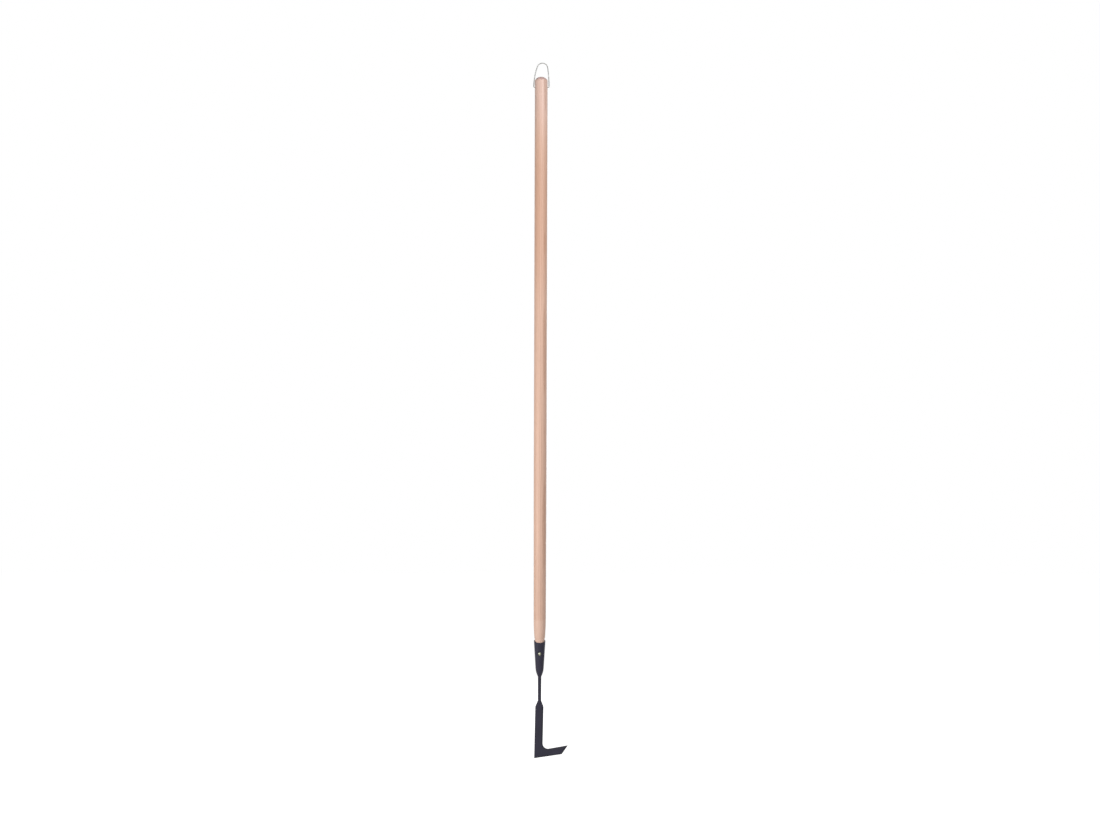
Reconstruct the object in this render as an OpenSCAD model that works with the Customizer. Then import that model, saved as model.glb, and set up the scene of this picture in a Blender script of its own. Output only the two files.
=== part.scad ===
// Long-handled patio knife: a hooked blade on a round shank, a rolled socket,
// a domed wooden handle and a wire loop to hang it by.
// It hangs upright: +Z runs up the handle, the blade's foot points along +X,
// and the origin is where the handle's axis meets the underside of the loop.

/* [Handle] */
// Diameter of the straight part
handle_d = 30; // [29:0.1:30]
// Length of the whole stick, with the end that the socket hides
handle_len = 1400; // [900:10:1600]
// Height of the domed top
dome_rise = 8.6; // [5:0.1:12]
// Diameter at the end of the slow taper below the straight part
slim_d = 28.6; // [27:0.1:29]
// Length of the slow taper
slim_len = 310; // [200:10:500]
// Length of the quick taper below that, with the end that the socket hides
taper_len = 120; // [110:1:160]
// Diameter just above the socket
collar_d = 25; // [24:0.1:26]
// Length of the steeper cone at the lower end
point_len = 7.4; // [7:0.1:8.5]
// Diameter of the flat that the stick ends in
point_d = 10; // [8:0.5:10.5]
// Depth of the loop's hole below the top of the dome
hole_depth = 25; // [22:1:30]

/* [Socket] */
// Thickness of the rolled sheet
socket_wall = 2.2; // [1.8:0.1:2.4]
// Length from the rim, at its middle height, to the nose
socket_len = 82; // [80:1:84]
// Diameter of the bore at the rim
rim_bore_d = 22.8; // [22.4:0.1:23.2]
// Slope of the bore on each side, in degrees
bore_slope = 3.5; // [3.4:0.1:3.6]
// Slant of the rim, lower at the front, in degrees
rim_slant = 16; // [0:1:20]
// Length of the rounded nose
nose_len = 18.4; // [17.8:0.2:19]
// Steepness of the nose where it meets the shank, in degrees
nose_slope = 24.6; // [24.2:0.1:25]
// Height of the stretch of the nose that is closed round the shank
nose_grip = 5; // [3:0.5:6]
// Width of the open seam at the back
seam_w = 0.8; // [0.4:0.1:2]

/* [Screw] */
// Depth of the screw's axis below the middle of the rim
screw_depth = 29.7; // [26:0.1:36]
// Diameter of the round head
screw_head_d = 8.5; // [7:0.1:9]
// Height of the round head
screw_head_h = 3.2; // [2.4:0.1:3.6]
// Diameter of the screw below its head
screw_d = 4.2; // [3.5:0.1:4.5]
// Length of the screw below its head
screw_len = 16; // [12:1:18]
// Depth of the flat seat that is pressed into the socket
seat_depth = 0.7; // [0.4:0.1:0.9]

/* [Shank] */
// Diameter of the round bar
shank_d = 8; // [7:0.5:9]
// Length that shows between the socket and the blade
shank_len = 59; // [40:1:90]
// Length that goes up into the socket
shank_in = 10; // [8:0.5:10.5]

/* [Blade] */
// Thickness of the plate
plate_t = 3; // [2.5:0.1:4]
// Thickness left along a ground edge
edge_t = 0.8; // [0.5:0.1:1.2]
// Width of the leg
leg_w = 19.4; // [16:0.1:22]
// Length from the top of the blade to the heel
leg_len = 136.2; // [110:0.1:150]
// Lean of the leg away from the foot, in degrees
leg_lean = 1.1; // [0:0.1:3]
// Length over which the plate widens from the shank to the leg
shoulder_len = 14; // [12:1:20]
// Reach of the foot's tip from the outer edge of the leg
foot_reach = 79; // [65:1:90]
// Height of the foot where it leaves the leg
foot_h = 17.2; // [14:0.1:18]
// Rise of the foot's lower edge, in degrees from square to the leg
foot_rise = 9.6; // [0:0.1:15]
// Rise of the foot's upper edge, in degrees from square to the leg
upper_rise = 11.2; // [0:0.1:16]
// Slope of the cut that ends the foot, in degrees
tip_slope = 56.5; // [45:0.5:70]
// Radius of the inner corner
corner_r = 12.4; // [8:0.2:16]
// Width of the bevel along the cutting edges
bevel_w = 4; // [2:0.1:5]
// Width of the bevel under the foot
sole_bevel_w = 2.6; // [1:0.1:4]
// Width of the bevel on the shoulders
shoulder_bevel_w = 1.8; // [1:0.1:2.5]

/* [Hanging loop] */
// Diameter of the wire
wire_d = 2.4; // [2:0.1:2.6]
// Height of the loop's underside above the dome, on the handle's axis
loop_rise = 30.6; // [26:0.2:40]
// Radius of the crown, to the middle of the wire
crown_r = 12.6; // [12.4:0.1:13.4]
// Distance of the crown's middle to the right of the handle's axis
crown_shift = 2.7; // [2:0.1:2.8]
// Lean of the left leg outwards below the crown, in degrees
left_lean = 19.5; // [19.5:0.5:21]
// Lean of the left leg outwards at its foot, in degrees
left_foot_lean = 0.5; // [0.5:0.5:2]
// Lean of the right leg outwards below the crown, in degrees
right_lean = 8; // [6:0.5:10]
// Lean of the right leg outwards at its foot, in degrees
right_foot_lean = 0.5; // [0.5:0.5:2]
// Radius of the bend into the handle, to the middle of the wire
bend_r = 2; // [1.8:0.1:2.2]
// Length of the straight end that goes into the handle
wire_in = 10; // [6:0.5:12]
// Gap between the wire and its hole, all round
wire_gap = 0.07; // [0.05:0.01:0.1]

/* [Hidden] */
$fn = 64;

handle_r = handle_d / 2;
shank_r = shank_d / 2;
wire_r = wire_d / 2;

// Heights down the tool, from the underside of the loop
handle_top = -loop_rise;
handle_end = handle_top - handle_len;
hole_z = handle_top - hole_depth;
dome_edge = handle_top - dome_rise;
taper_top = handle_end + taper_len;
slim_top = taper_top + slim_len;
point_top = handle_end + point_len;
nose_top = point_top;
nose_end = nose_top - nose_len;
rim_z = nose_end + socket_len;
screw_z = rim_z - screw_depth;
shank_top = nose_end + shank_in;
blade_top = nose_end - shank_len;

// The sphere whose cap is the dome
dome_r = (handle_r * handle_r + dome_rise * dome_rise) / (2 * dome_rise);

// The cone that the end of the stick and the bore of the socket share, and the socket's outside
function cone_r(z) = rim_bore_d / 2 + (z - rim_z) * tan(bore_slope);
function socket_r(z) = cone_r(z) + socket_wall / cos(bore_slope);

// The stick widens from that cone to its collar just above the back of the slanted rim
cone_top = rim_z + 4.5;
collar_z = cone_top + 3;

// The quick taper is an arc that is upright at its upper end, listed from the collar upwards
taper_fall = (slim_d - collar_d) / 2;
taper_drop = taper_top - collar_z;
taper_arc_r = (taper_drop * taper_drop + taper_fall * taper_fall) / (2 * taper_fall);
taper_steps = 6;
taper_arc = [for (i = [taper_steps:-1:0])
    let (a = asin(taper_drop / taper_arc_r) * i / taper_steps)
    [slim_d / 2 - taper_arc_r * (1 - cos(a)), taper_top - taper_arc_r * sin(a)]];

// The nose is an arc that starts in line with the cone: a point of it at slope a, depth in from
// the outer skin
nose_arc_r = nose_len / (sin(nose_slope) - sin(bore_slope));
nose_steps = 6;
function nose_point(a, depth) = [
    socket_r(nose_top) - nose_arc_r * (cos(bore_slope) - cos(a)) - depth * cos(a),
    nose_top - nose_arc_r * (sin(a) - sin(bore_slope)) + depth * sin(a)
];
nose_slopes = [for (i = [0:nose_steps]) bore_slope + (nose_slope - bore_slope) * i / nose_steps];
nose_r = nose_point(nose_slope, 0)[0];

// The seat of the screw, as a distance in front of the handle's axis
seat_y = socket_r(screw_z) - seat_depth;
seat_d = screw_head_d + 0.9;
screw_hole_d = screw_d + 0.2;
screw_tip_len = 4;
recess_w = 1.1;
recess_len = 4.6;
recess_depth = 1.7;

// Beads of weld
nose_bead_h = 2.4;
blade_bead_len = 10;
blade_bead_end_r = 1.2;

// The middles of the loop's crown and of its lower bends. The crown's inside passes through the
// origin.
crown_inner_r = crown_r - wire_r;
crown_z = -sqrt(crown_inner_r * crown_inner_r - crown_shift * crown_shift);
bend_z = hole_z + bend_r;

// The legs and the ends reach this far into the crown and the bends, which are a little fuller
wire_lap = 0.25;
bent_wire_r = wire_r + 0.02;

// Cuts reach this far past the surfaces that they open
past = 1;

// Outline of the blade, anticlockwise, with the leg upright. It starts at the heel, from which
// all of it can be seen, so that a face is a fan of triangles from there.
leg_x = leg_w / 2;
root_z = -leg_len + leg_w * tan(foot_rise) + foot_h;
tip = [foot_reach - leg_x, root_z + (foot_reach - leg_w) * tan(upper_rise)];
heel = [-leg_x, -leg_len];
sole_end = meet(heel, along(foot_rise), tip, along(tip_slope));
corner = [leg_x + corner_r, root_z + corner_r * tan(upper_rise) + corner_r / cos(upper_rise)];
corner_steps = 12;
corner_arc = [for (i = [0:corner_steps])
    corner + corner_r * along(upper_rise - 90 - (90 + upper_rise) * i / corner_steps)];
outline = concat(
    [heel, sole_end, tip],
    corner_arc,
    [[leg_x, -shoulder_len], [shank_r, 0], [-shank_r, 0], [-leg_x, -shoulder_len]]
);
// Width of the bevel on the edge that starts at each of those points
bevels = concat(
    [sole_bevel_w, bevel_w, bevel_w],
    [for (i = [0:corner_steps]) bevel_w],
    [shoulder_bevel_w, 0, shoulder_bevel_w, 0]
);

function along(a) = [cos(a), sin(a)];
function meet(p, d, q, e) = p + d * cross(q - p, e) / cross(d, e);
function direction(p, q) = (q - p) / norm(q - p);
function inward(d) = [-d[1], d[0]];

// The outline with each edge moved in by its own width
function inset(points, widths) = [
    for (i = [0:len(points) - 1])
        let (
            before = (i + len(points) - 1) % len(points),
            after = (i + 1) % len(points),
            d = direction(points[before], points[i]),
            e = direction(points[i], points[after])
        )
        meet(points[i] + inward(d) * widths[before], d, points[i] + inward(e) * widths[i], e)
];

// A ring of points in the plane of the blade, at depth y
function ring(points, y) = [for (p = points) [p[0], y, p[1]]];

// A plate whose faces are the inner outline and whose edge, edge_t thick, is the outer one
module bevelled_plate(outer, inner) {
    n = len(outer);
    sides = [for (k = [0:2], i = [0:n - 1])
        let (j = (i + 1) % n)
        [k * n + i, k * n + j, (k + 1) * n + j, (k + 1) * n + i]];
    polyhedron(
        points = concat(
            ring(inner, -plate_t / 2),
            ring(outer, -edge_t / 2),
            ring(outer, edge_t / 2),
            ring(inner, plate_t / 2)
        ),
        faces = concat(
            [for (i = [1:n - 2]) [0, i + 1, i]],
            sides,
            [for (i = [1:n - 2]) [3 * n, 3 * n + i, 3 * n + i + 1]]
        )
    );
}

// A stretch of bent wire: an arc about the Y axis, from one angle to another
module wire_arc(r, from, to, thick_r) {
    rotate([90, 0, 0])
        rotate([0, 0, from])
            rotate_extrude(angle = to - from)
                translate([r, 0])
                    circle(thick_r);
}

// Everything that enters the front of the socket along the screw's axis
module at_screw() {
    translate([0, -seat_y, screw_z])
        rotate([90, 0, 0])
            children();
}

// The ash stick: domed on top, tapered below, drilled for the loop and the screw
module handle() {
    color("burlywood")
        difference() {
            union() {
                intersection() {
                    translate([0, 0, handle_top - dome_r])
                        sphere(dome_r);
                    translate([0, 0, dome_edge])
                        cylinder(h = dome_rise + past, r = handle_r);
                }
                rotate_extrude()
                    polygon(concat(
                        [
                            [0, dome_edge],
                            [0, handle_end],
                            [point_d / 2, handle_end],
                            [cone_r(point_top), point_top],
                            [cone_r(cone_top), cone_top]
                        ],
                        taper_arc,
                        [[handle_r, slim_top], [handle_r, dome_edge]]
                    ));
            }
            translate([-handle_r - past, 0, hole_z])
                rotate([0, 90, 0])
                    cylinder(h = handle_d + 2 * past, r = wire_r + wire_gap);
            at_screw()
                translate([0, 0, -screw_len])
                    cylinder(h = screw_len + past, d = screw_d);
        }
}

// The rolled and drawn socket: slanted rim, open seam at the back, seat and hole for the screw
module socket() {
    rim_reach = handle_r * tan(rim_slant) + past;
    blank_top = rim_z + rim_reach;
    outer_nose = [for (a = nose_slopes) nose_point(a, 0)];
    inner_nose = [for (a = nose_slopes) nose_point(a, socket_wall)];
    inner_open = [for (p = inner_nose) if (p[0] > shank_r && p[1] > nose_end + nose_grip) p];
    color("dimgray")
        difference() {
            rotate_extrude()
                polygon(concat(
                    [[cone_r(blank_top), blank_top]],
                    inner_open,
                    [[shank_r, nose_end + nose_grip], [shank_r, nose_end]],
                    [for (i = [nose_steps:-1:0]) outer_nose[i]],
                    [[socket_r(blank_top), blank_top]]
                ));
            translate([0, 0, rim_z])
                rotate([rim_slant, 0, 0])
                    translate([-handle_d, -handle_d, 0])
                        cube([2 * handle_d, 2 * handle_d, handle_d]);
            translate([-seam_w / 2, 0, nose_top])
                cube([seam_w, handle_d, blank_top - nose_top + past]);
            at_screw() {
                cylinder(h = handle_r, d = seat_d);
                translate([0, 0, -handle_r / 2])
                    cylinder(h = handle_r, d = screw_hole_d);
            }
        }
}

// The round-head wood screw, with its thread drawn as a plain shank
module socket_screw() {
    head_sphere_r = (screw_head_d * screw_head_d / 4 + screw_head_h * screw_head_h)
        / (2 * screw_head_h);
    color("darkkhaki")
        at_screw()
            difference() {
                union() {
                    intersection() {
                        translate([0, 0, screw_head_h - head_sphere_r])
                            sphere(head_sphere_r);
                        cylinder(h = screw_head_h + past, d = screw_head_d + past);
                    }
                    translate([0, 0, -screw_len + screw_tip_len])
                        cylinder(h = screw_len - screw_tip_len, d = screw_d);
                    translate([0, 0, -screw_len])
                        cylinder(h = screw_tip_len, d1 = 0.4, d2 = screw_d);
                }
                for (turn = [0, 90])
                    rotate([0, 0, turn])
                        translate([-recess_len / 2, -recess_w / 2, screw_head_h - recess_depth])
                            cube([recess_len, recess_w, recess_depth + past]);
            }
}

// The bead that closes the nose round the shank
module socket_weld() {
    color("gray")
        rotate_extrude()
            polygon([
                [shank_r, nose_end],
                [shank_r, nose_end - nose_bead_h],
                [(shank_r + nose_r) / 2, nose_end - 0.8 * nose_bead_h],
                [nose_r, nose_end - 0.35 * nose_bead_h],
                [nose_r, nose_end]
            ]);
}

// The round bar
module shank() {
    color("dimgray")
        translate([0, 0, blade_top])
            cylinder(h = shank_top - blade_top, r = shank_r);
}

// The hooked plate, bevelled alike on both faces
module blade() {
    color("darkslategray")
        translate([0, 0, blade_top - shank_r * sin(leg_lean)])
            rotate([0, leg_lean, 0])
                bevelled_plate(outline, inset(outline, bevels));
}

// The beads that run from the end of the shank down both faces of the blade
module blade_weld() {
    color("gray")
        difference() {
            translate([0, 0, blade_top - blade_bead_len])
                cylinder(h = blade_bead_len, r1 = blade_bead_end_r, r2 = shank_r);
            blade();
        }
}

// One side of the loop, drawn on the right: a leg that leans out less and less, the bend at its
// foot and the end in the hole
module loop_side(crown_x, lean, foot_lean) {
    leg_top = [crown_x, crown_z] + crown_r * along(lean);
    leg_foot_z = bend_z + bend_r * sin(foot_lean);
    leg_r = (leg_top[1] - leg_foot_z) / (sin(lean) - sin(foot_lean));
    leg_middle = leg_top - leg_r * along(lean);
    lap_turn = wire_lap / leg_r * 180 / PI;
    bend_x = leg_middle[0] + (leg_r - bend_r) * cos(foot_lean);
    translate([leg_middle[0], 0, leg_middle[1]])
        wire_arc(leg_r, foot_lean - lap_turn, lean + lap_turn, wire_r);
    translate([bend_x, 0, bend_z])
        wire_arc(bend_r, -90, foot_lean, bent_wire_r);
    translate([bend_x + wire_lap, 0, hole_z])
        rotate([0, -90, 0])
            cylinder(h = wire_lap + wire_in, r = wire_r);
}

// The bent wire, which swings about the hole through the handle
module hanging_loop() {
    color("silver") {
        translate([crown_shift, 0, crown_z])
            wire_arc(crown_r, right_lean, 180 - left_lean, bent_wire_r);
        loop_side(crown_shift, right_lean, right_foot_lean);
        mirror([1, 0, 0])
            loop_side(-crown_shift, left_lean, left_foot_lean);
    }
}

handle();
socket();
socket_screw();
socket_weld();
shank();
blade();
blade_weld();
hanging_loop();
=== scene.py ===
import random
from functools import partial
from math import acos, asin, cos, degrees, exp, hypot, pi, radians, sin, sqrt, tan

import bmesh
import bpy
from mathutils import Matrix, Vector


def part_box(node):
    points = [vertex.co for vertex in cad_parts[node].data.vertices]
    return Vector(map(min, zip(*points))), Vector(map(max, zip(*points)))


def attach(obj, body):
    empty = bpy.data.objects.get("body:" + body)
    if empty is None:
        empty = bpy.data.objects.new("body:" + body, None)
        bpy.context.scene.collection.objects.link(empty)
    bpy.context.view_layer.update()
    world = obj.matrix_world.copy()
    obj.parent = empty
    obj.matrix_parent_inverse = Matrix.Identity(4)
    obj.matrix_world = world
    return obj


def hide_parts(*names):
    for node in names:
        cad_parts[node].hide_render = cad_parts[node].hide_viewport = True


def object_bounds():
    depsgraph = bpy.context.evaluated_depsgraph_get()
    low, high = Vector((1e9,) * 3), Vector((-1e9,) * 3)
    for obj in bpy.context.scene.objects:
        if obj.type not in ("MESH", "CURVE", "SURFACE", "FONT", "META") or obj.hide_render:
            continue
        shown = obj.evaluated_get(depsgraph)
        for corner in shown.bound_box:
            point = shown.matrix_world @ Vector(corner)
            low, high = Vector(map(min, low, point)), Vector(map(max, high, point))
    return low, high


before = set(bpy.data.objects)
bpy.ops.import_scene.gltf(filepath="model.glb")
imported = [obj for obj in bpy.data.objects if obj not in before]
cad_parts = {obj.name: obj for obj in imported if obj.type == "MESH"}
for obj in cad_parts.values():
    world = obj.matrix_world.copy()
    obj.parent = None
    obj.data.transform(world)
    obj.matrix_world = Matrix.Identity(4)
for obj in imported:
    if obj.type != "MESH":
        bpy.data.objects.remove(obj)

mm = 0.001
cadBox = [list(corner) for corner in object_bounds()]
print("frame loaded:", ", ".join(sorted(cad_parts)))


def linear(hexColour):  # sRGB hex to the linear colour that a shader wants
    parts = [int(hexColour[i:i + 2], 16) / 255 for i in (1, 3, 5)]
    return tuple(c / 12.92 if c <= 0.04045 else ((c + 0.055) / 1.055) ** 2.4 for c in parts) + (1.0,)


def plug(node, links):  # by the order of the inputs, or by their names or numbers
    for name, value in links.items() if isinstance(links, dict) else enumerate(links):
        if isinstance(value, bpy.types.NodeSocket):
            node.id_data.links.new(value, node.inputs[name])
        else:
            node.inputs[name].default_value = value


def addNode(tree, kind, links=(), out=0, **settings):  # hands back one of the node's outputs
    node = tree.nodes.new(kind)
    for name, value in settings.items():
        setattr(node, name, value)
    plug(node, links)
    return node.outputs[out] if node.outputs else None


def between(a, b, t):  # the value t of the way from a to b
    return a + (b - a) * t


def smoothStep(low, high, x):
    t = min(1.0, max(0.0, (x - low) / (high - low)))
    return t * t * (3 - 2 * t)


def along(angle):  # unit direction in the picture plane, degrees from +X
    return Vector((cos(radians(angle)), sin(radians(angle))))


def makeObject(name, data):
    made = bpy.data.objects.new(name, data)
    bpy.context.scene.collection.objects.link(made)
    return made


# Camera and light, with places and sizes in metres

view = {
    "distance": 4.5,        # in front of the tool
    "frameWidth": 2.5927,   # what the frame covers at the tool
    "across": 0.02284,      # the tool hangs a little left of the middle
    "height": -0.8205,
    "roll": 0.16,           # degrees; the tool's top leans a little to the right
    "sensor": 36.0,         # millimetres
}
cameraData = bpy.data.cameras.new("camera")
cameraData.sensor_width = view["sensor"]
cameraData.lens = view["sensor"] * view["distance"] / view["frameWidth"]
camera = makeObject("camera", cameraData)
camera.location = (view["across"], -view["distance"], view["height"])
camera.rotation_euler = (radians(90), -radians(view["roll"]), 0)
bpy.context.scene.camera = camera

# Soft boxes: right of the top, left of the lower half, a large one in front, one for the back
lamps = {  # place and aim, width of the box, spread of its light in degrees, watts
    "upperSoftbox": ((0.62, -1.55, 0.12), (0.0, 0.0, 0.0), 0.7, 120, 6.5),
    "lowerSoftbox": ((-1.35, -1.1, -1.08), (0.0, 0.0, -1.1), 0.7, 120, 6.2),
    "frontSoftbox": ((0.1, -2.6, -0.85), (0.0, 0.0, -0.9), 1.4, 180, 11.5),
    "backSoftbox": ((0.5, 2.4, -0.6), (0.0, 0.0, -0.8), 1.4, 180, 14.0),
}
for name, (spot, aim, width, spread, watts) in lamps.items():
    lampData = bpy.data.lights.new(name, "AREA")
    lampData.shape, lampData.size, lampData.energy = "SQUARE", width, watts
    lampData.spread = radians(spread)
    lamp = makeObject(name, lampData)
    lamp.location = spot
    lamp.rotation_euler = (Vector(aim) - Vector(spot)).to_track_quat("-Z", "Y").to_euler()

# The world's light on the tool, how far under the blade the floor lies, and its glow to the eye
room = {"fill": 0.25, "floorDrop": 0.16, "floorSize": 14.0, "floorColour": "#f2f2f0", "floorGlow": 0.78}


def seenDirectly(add):  # 1 for rays that show the background: camera, mirror and glass rays
    rays = add("ShaderNodeLightPath").node.outputs
    either = add("ShaderNodeMath", [rays["Is Camera Ray"], rays["Is Glossy Ray"]], operation="MAXIMUM")
    return add("ShaderNodeMath", [either, rays["Is Transmission Ray"]], operation="MAXIMUM")


world = bpy.data.worlds.new("studio")
bpy.context.scene.world = world
world.use_nodes = True
world.node_tree.nodes.clear()
add = partial(addNode, world.node_tree)
fillLevel = add("ShaderNodeMapRange", {"Value": seenDirectly(add), "To Min": room["fill"]})
add("ShaderNodeOutputWorld", [add("ShaderNodeBackground", [(1, 1, 1, 1), fillLevel])])

floorFinish = bpy.data.materials.new("paleFloor")
floorFinish.use_nodes = True
floorFinish.node_tree.nodes.clear()
add = partial(addNode, floorFinish.node_tree)
glowLevel = add("ShaderNodeMath", [seenDirectly(add), room["floorGlow"]], operation="MULTIPLY")
lit = add("ShaderNodeAddShader", [add("ShaderNodeBsdfDiffuse", [linear(room["floorColour"])]),
                                  add("ShaderNodeEmission", [(1, 1, 1, 1), glowLevel])])
add("ShaderNodeOutputMaterial", [lit])

floorZ = cadBox[0][2] - room["floorDrop"]
half = room["floorSize"] / 2
corners = [(x * half, y * half, floorZ) for x, y in ((-1, -1), (1, -1), (1, 1), (-1, 1))]
floorMesh = bpy.data.meshes.new("floor")
floorMesh.from_pydata(corners, [], [(0, 1, 2, 3)])
floorMesh.materials.append(floorFinish)
makeObject("floor", floorMesh)
bpy.context.scene.view_settings.view_transform = "Standard"
print("camera and light set")

# Materials

smooth = {"interpolation_type": "SMOOTHSTEP"}


def startMaterial(name):
    material = bpy.data.materials.new(name)
    material.use_nodes = True
    return material, material.node_tree.nodes["Principled BSDF"], partial(addNode, material.node_tree)


def stretchedNoise(add, source, across, length, detail=3.0, roughness=0.5):
    # a noise whose spots are that many millimetres across and that many long, down the tool
    scaled = add("ShaderNodeMapping", {
        "Vector": source, "Scale": (1 / (across * mm), 1 / (across * mm), 1 / (length * mm))})
    return add("ShaderNodeTexNoise", {
        "Vector": scaled, "Scale": 1.0, "Detail": detail, "Roughness": roughness}, "Fac")


def paintOver(add, colour, layers):  # each layer is a colour and how far it covers what is below
    for layer, amount in layers:
        colour = add("ShaderNodeMix", {0: amount, 6: colour, 7: layer}, 2, data_type="RGBA")
    return colour


def finishSurface(add, shader, sizes, colour, noise, relief, more):
    # noise is a value, with the two ends that get the lowest and the highest roughness
    plug(shader, {
        "Base Color": colour, **more,
        "Roughness": add("ShaderNodeMapRange", [*noise, *sizes["roughness"]]),
        "Normal": add("ShaderNodeBump", {
            "Strength": sizes["bumpStrength"], "Distance": sizes["bumpDepth"] * mm, "Height": relief})})


# Ash, turned, sanded and lacquered: pale even wood, straight grain, fine open pores in the early
# wood of each ring, darker where the dome cuts the fibres across
ashWood = {
    "lateWood": "#e4bca6", "earlyWood": "#d1a48b", "pore": "#a8795f",
    "endGrain": "#d3aba9", "freshCut": "#ebc9b7",
    "earlyShare": 0.55, "poreShare": 0.4, "endShare": 0.62, "cutShare": 0.45,   # how far each covers
    "fibreSize": (0.8, 34), "poreSize": (0.34, 6.5), "broadSize": (30, 260),    # across and down
    "paintedSheenTint": (1.04, 1.13, 1.26),   # painted highlight: the top drawn paler and pinker, as the upper lamp's sheen on the lacquer
    "paintedSheenStretch": (-0.22, -0.04),    # where that comes in, in metres
    "paintedShadeTint": (0.92, 0.86, 0.81),   # painted shade: a darker, warmer stretch in the upper half, where the light dips between the lamps
    "paintedShadeStretch": (-0.36, 0.19),     # its middle and its half length, in metres
    "ringWidth": 2.4,                 # a fast grown ash has rings of 2 to 3 mm
    "pith": (-46.0, 58.0),            # the heart of the trunk, beside the stick
    "grainWander": 3.6,               # how far the rings stray
    "bumpStrength": 0.35, "bumpDepth": 0.06, "roughness": (0.40, 0.52), "ior": 1.5,
}


def makeAshWood(domeEdge, taperTop):
    material, shader, add = startMaterial("lacqueredAsh")
    place = add("ShaderNodeTexCoord", out="Object")
    height = add("ShaderNodeSeparateXYZ", [place], "Z")
    # The rings stray in swings of about 45 mm across the stick and 200 mm down it
    stray = add("ShaderNodeTexNoise", {
        "Vector": add("ShaderNodeMapping", {"Vector": place, "Scale": (22, 22, 5)}),
        "Scale": 1.0, "Detail": 2.0}, "Color")
    stray = add("ShaderNodeVectorMath", [stray, (0.5, 0.5, 0.5)], operation="SUBTRACT")
    stray = add("ShaderNodeVectorMath", {0: stray, "Scale": ashWood["grainWander"] * mm}, operation="SCALE")
    fromPith = add("ShaderNodeMapping", {
        "Vector": add("ShaderNodeVectorMath", [place, stray], operation="ADD"),
        "Location": (-ashWood["pith"][0] * mm, -ashWood["pith"][1] * mm, 0.0), "Scale": (1, 1, 0.004)})
    distance = add("ShaderNodeVectorMath", [fromPith], "Value", operation="LENGTH")
    rings = add("ShaderNodeMath", [distance, ashWood["ringWidth"] * mm], operation="DIVIDE")
    ring = add("ShaderNodeMath", [rings], operation="FRACT")
    early = add("ShaderNodeMath", [
        add("ShaderNodeMapRange", [ring, 0.0, 0.10], **smooth),
        add("ShaderNodeMapRange", [ring, 0.16, 0.62, 1.0, 0.0], **smooth)], operation="MULTIPLY")
    fibre = stretchedNoise(add, place, *ashWood["fibreSize"], 4.0, 0.6)
    broad = stretchedNoise(add, place, *ashWood["broadSize"], 2.0)
    speckle = stretchedNoise(add, place, *ashWood["poreSize"], 2.0, 0.4)
    pores = add("ShaderNodeMath", [
        add("ShaderNodeMapRange", [speckle, 0.56, 0.64], **smooth),
        add("ShaderNodeMapRange", [early, 0.2, 1.0, 0.12, 1.0])], operation="MULTIPLY")
    earlyAmount = add("ShaderNodeMapRange", [early, 0.0, 1.0, 0.0, ashWood["earlyShare"]])
    colour = paintOver(add, linear(ashWood["lateWood"]), [(linear(ashWood["earlyWood"]), earlyAmount)])
    tone = add("ShaderNodeMath", [
        add("ShaderNodeMapRange", [fibre, 0.3, 0.7, 0.955, 1.035]),
        add("ShaderNodeMapRange", [broad, 0.3, 0.7, 0.965, 1.03])], operation="MULTIPLY")
    colour = add("ShaderNodeVectorMath", {0: colour, "Scale": tone}, operation="SCALE")
    middle, reach = ashWood["paintedShadeStretch"]
    fromMiddle = add("ShaderNodeMath", [
        add("ShaderNodeMath", [height, middle], operation="SUBTRACT")], operation="ABSOLUTE")
    # painted shade: the stretch between the two lamps drawn darker and warmer
    paintedShade = add("ShaderNodeMapRange", [fromMiddle, 0.25 * reach, 1.3 * reach, 1.0, 0.0], **smooth)
    # painted highlight: the top of the stick drawn paler and pinker
    paintedSheen = add("ShaderNodeMapRange", [height, *ashWood["paintedSheenStretch"]], **smooth)
    for tint, amount in (("paintedShadeTint", paintedShade), ("paintedSheenTint", paintedSheen)):
        tinted = add("ShaderNodeVectorMath", [colour, ashWood[tint]], operation="MULTIPLY")
        colour = paintOver(add, colour, [(tinted, amount)])
    # The quick taper shows freshly cut wood, and the dome the ends of the fibres
    edge, taper = domeEdge * mm, taperTop * mm
    cut = [height, taper - 0.003, taper + 0.004, ashWood["cutShare"], 0.0]
    end = [height, edge - 0.0003, edge + 0.0012, 0.0, ashWood["endShare"]]
    colour = paintOver(add, colour, [
        (linear(ashWood["pore"]), add("ShaderNodeMapRange", [pores, 0.0, 1.0, 0.0, ashWood["poreShare"]])),
        (linear(ashWood["freshCut"]), add("ShaderNodeMapRange", cut, **smooth)),
        (linear(ashWood["endGrain"]), add("ShaderNodeMapRange", end, **smooth))])
    relief = add("ShaderNodeMath", [
        add("ShaderNodeMapRange", [fibre, 0.3, 0.7, 0.0, 0.35]), pores], operation="SUBTRACT")
    finishSurface(add, shader, ashWood, colour, (fibre, 0.3, 0.7), relief, {"IOR": ashWood["ior"]})
    return material


# Thin dark grey powder coat on mild steel: semi-matt, with the orange peel of the melted powder,
# a little thinner and lighter along edges, and the grinder's marks showing through on the bevels
powderCoat = {
    "coat": "#272533", "coatLight": "#2e2c3c", "thinEdge": "#4a4a52", "ground": "#26262f",
    "orangePeel": 1.3, "speck": 0.25, "grindMarks": 0.7, "grindAngle": 38, "broadSize": (22, 40),
    "bumpStrength": 0.5, "bumpDepth": 0.05,
    "roughness": (0.44, 0.56), "ior": 1.5, "specular": 0.25,   # a matt coat gives back half the gloss
}


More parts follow.
